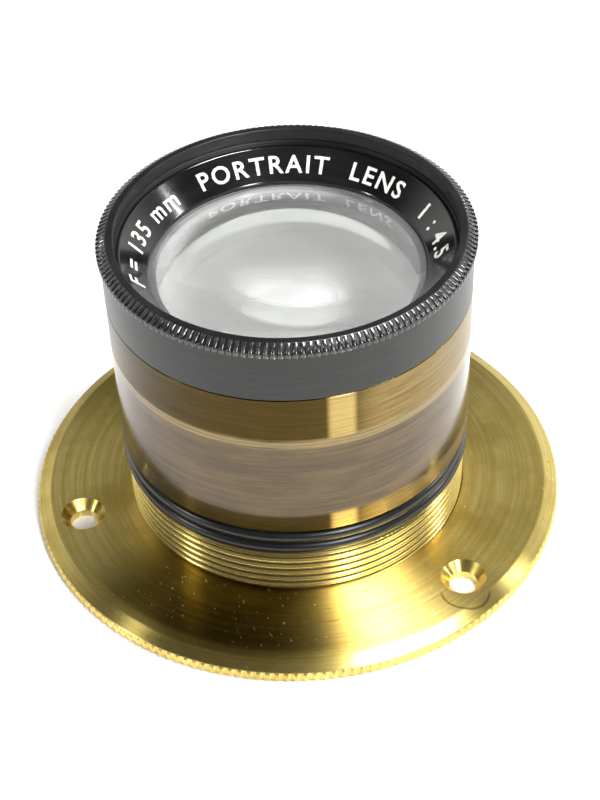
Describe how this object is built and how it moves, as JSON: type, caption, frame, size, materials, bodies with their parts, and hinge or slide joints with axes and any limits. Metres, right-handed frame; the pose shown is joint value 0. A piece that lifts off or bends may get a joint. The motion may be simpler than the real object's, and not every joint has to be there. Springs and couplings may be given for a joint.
{
  "type": "portrait lens in barrel",
  "caption": "Brass portrait lens in barrel with black front ring, iris and threaded barrel, screwed into a round flange with countersunk holes.",
  "frame": {"origin": "centre of the mounting flange's back face, on the optical axis", "axes": "+Z along the optical axis towards the subject; -Y is the side the picture was taken from, +X to its right"},
  "size_m": [0.063, 0.063, 0.0382],
  "materials": {
    "turned_brass": "turned, bare and slightly tarnished",
    "lacquered_brass": "brown worn lacquer over turned brass",
    "black_enamel": "satin black enamel on brass",
    "matt_black": "matt optical black",
    "screw_steel": "blued steel",
    "leaf_steel": "blackened spring steel",
    "glass": "polished, uncoated"
  },
  "bodies": {
    "flange": {"mounting_flange": "turned_brass"},
    "optics": {"front_element": "glass", "second_element": "glass", "rear_inner_element": "glass", "rear_outer_element": "glass"},
    "barrel": {"thread_sleeve": "turned_brass", "bead_ring": "black_enamel", "barrel_tube": "lacquered_brass", "set_screw_1": "screw_steel", "set_screw_2": "screw_steel", "front_cell": "matt_black", "name_ring": "black_enamel", "front_spacer": "matt_black", "second_retainer": "matt_black", "iris_base_plate": "matt_black", "rear_cell": "black_enamel", "rear_retaining_ring": "black_enamel"},
    "aperture": {"aperture_ring": "black_enamel", "drive_screw": "screw_steel", "iris_drive_ring": "matt_black"},
    "leaf_1": {"iris_leaf_1": "leaf_steel"},
    "leaf_2": {"iris_leaf_2": "leaf_steel"},
    "leaf_3": {"iris_leaf_3": "leaf_steel"},
    "leaf_4": {"iris_leaf_4": "leaf_steel"},
    "leaf_5": {"iris_leaf_5": "leaf_steel"},
    "leaf_6": {"iris_leaf_6": "leaf_steel"},
    "leaf_7": {"iris_leaf_7": "leaf_steel"}
  },
  "joints": [
    {"name": "barrel_travel", "type": "slide", "parent": "flange", "child": "optics", "axis": [0, 0, 1], "range_m": [-0.00585, 0.0006]},
    {"name": "barrel_turn", "type": "hinge", "parent": "optics", "child": "barrel", "pos_m": [0, 0, 0], "axis": [0, 0, 1], "range_deg": [-2106, 216]},
    {"name": "aperture_turn", "type": "hinge", "parent": "barrel", "child": "aperture", "pos_m": [0, 0, 0.034], "axis": [0, 0, 1], "range_deg": [0, 68]},
    {"name": "leaf_1_swing", "type": "hinge", "parent": "barrel", "child": "leaf_1", "pos_m": [0.0164, 0, 0.01545], "axis": [0, 0, 1], "range_deg": [0, 34]},
    {"name": "leaf_2_swing", "type": "hinge", "parent": "barrel", "child": "leaf_2", "pos_m": [0.01023, 0.01282, 0.01545], "axis": [0, 0, 1], "range_deg": [0, 34]},
    {"name": "leaf_3_swing", "type": "hinge", "parent": "barrel", "child": "leaf_3", "pos_m": [-0.00365, 0.01599, 0.01545], "axis": [0, 0, 1], "range_deg": [0, 34]},
    {"name": "leaf_4_swing", "type": "hinge", "parent": "barrel", "child": "leaf_4", "pos_m": [-0.01478, 0.00712, 0.01545], "axis": [0, 0, 1], "range_deg": [0, 34]},
    {"name": "leaf_5_swing", "type": "hinge", "parent": "barrel", "child": "leaf_5", "pos_m": [-0.01478, -0.00712, 0.01545], "axis": [0, 0, 1], "range_deg": [0, 34]},
    {"name": "leaf_6_swing", "type": "hinge", "parent": "barrel", "child": "leaf_6", "pos_m": [-0.00365, -0.01599, 0.01545], "axis": [0, 0, 1], "range_deg": [0, 34]},
    {"name": "leaf_7_swing", "type": "hinge", "parent": "barrel", "child": "leaf_7", "pos_m": [0.01023, -0.01282, 0.01545], "axis": [0, 0, 1], "range_deg": [0, 34]}
  ],
  "couplings": [
    {"joint": "barrel_travel", "follows": "barrel_turn", "m_per_rad": 0.00015915},
    {"joint": "leaf_1_swing", "follows": "aperture_turn", "ratio": 0.5},
    {"joint": "leaf_2_swing", "follows": "aperture_turn", "ratio": 0.5},
    {"joint": "leaf_3_swing", "follows": "aperture_turn", "ratio": 0.5},
    {"joint": "leaf_4_swing", "follows": "aperture_turn", "ratio": 0.5},
    {"joint": "leaf_5_swing", "follows": "aperture_turn", "ratio": 0.5},
    {"joint": "leaf_6_swing", "follows": "aperture_turn", "ratio": 0.5},
    {"joint": "leaf_7_swing", "follows": "aperture_turn", "ratio": 0.5}
  ]
}
